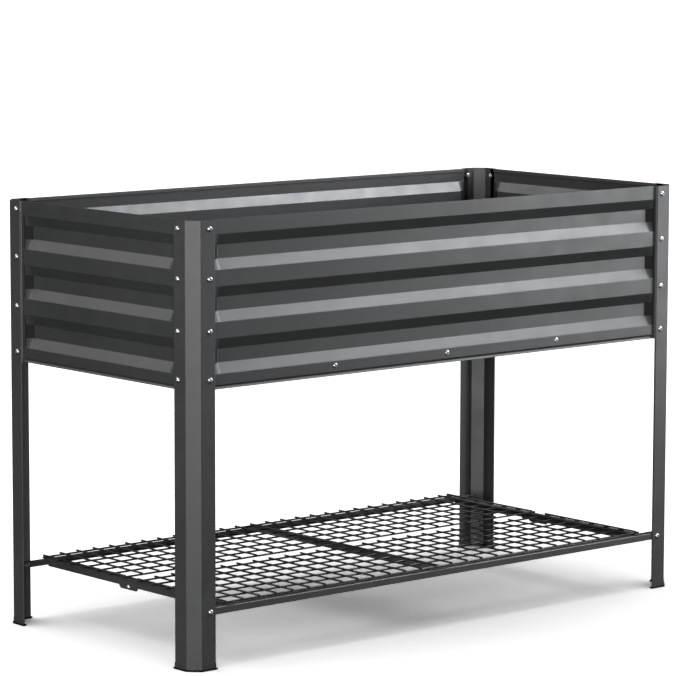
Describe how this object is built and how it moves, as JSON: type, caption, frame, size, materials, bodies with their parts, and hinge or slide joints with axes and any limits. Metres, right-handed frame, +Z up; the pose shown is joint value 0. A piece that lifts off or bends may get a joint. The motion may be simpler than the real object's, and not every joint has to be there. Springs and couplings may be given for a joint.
{
  "type": "raised planter",
  "caption": "Raised planter on legs: a long corrugated sheet-metal bed on folded corner legs with foot caps, and a low wire mesh storage shelf between the legs.",
  "frame": {"origin": "middle of the footprint, on the ground", "axes": "+X to the right along the long front, +Y to the back, +Z up"},
  "size_m": [1.2266, 0.5786, 0.808],
  "materials": {
    "painted_steel": "satin charcoal powder coat",
    "foot_plastic": "black moulded plastic",
    "coated_wire": "dark powder coat",
    "zinc_fasteners": "bright zinc plate"
  },
  "bodies": {
    "root": {"leg_front_left": "painted_steel", "leg_front_right": "painted_steel", "leg_back_left": "painted_steel", "leg_back_right": "painted_steel", "foot_cap_front_left": "foot_plastic", "foot_cap_front_right": "foot_plastic", "foot_cap_back_left": "foot_plastic", "foot_cap_back_right": "foot_plastic", "front_panel": "painted_steel", "back_panel": "painted_steel", "left_panel": "painted_steel", "right_panel": "painted_steel", "floor_brace_left": "painted_steel", "floor_brace_middle": "painted_steel", "floor_brace_right": "painted_steel", "floor_plate_1": "painted_steel", "floor_plate_2": "painted_steel", "floor_plate_3": "painted_steel", "floor_plate_4": "painted_steel", "shelf_rail_front": "painted_steel", "shelf_rail_back": "painted_steel", "shelf_end_bar_left_front": "painted_steel", "shelf_end_bar_left_back": "painted_steel", "shelf_end_bar_right_front": "painted_steel", "shelf_end_bar_right_back": "painted_steel", "shelf_centre_bar": "painted_steel", "shelf_mesh_front": "coated_wire", "shelf_mesh_back": "coated_wire", "leg_bolts": "zinc_fasteners", "leg_nuts": "zinc_fasteners", "brace_bolts": "zinc_fasteners", "brace_nuts": "zinc_fasteners", "rail_bolts": "zinc_fasteners", "rail_nuts": "zinc_fasteners", "splice_bolts": "zinc_fasteners", "splice_nuts": "zinc_fasteners", "shelf_rivets": "coated_wire"}
  },
  "joints": []
}
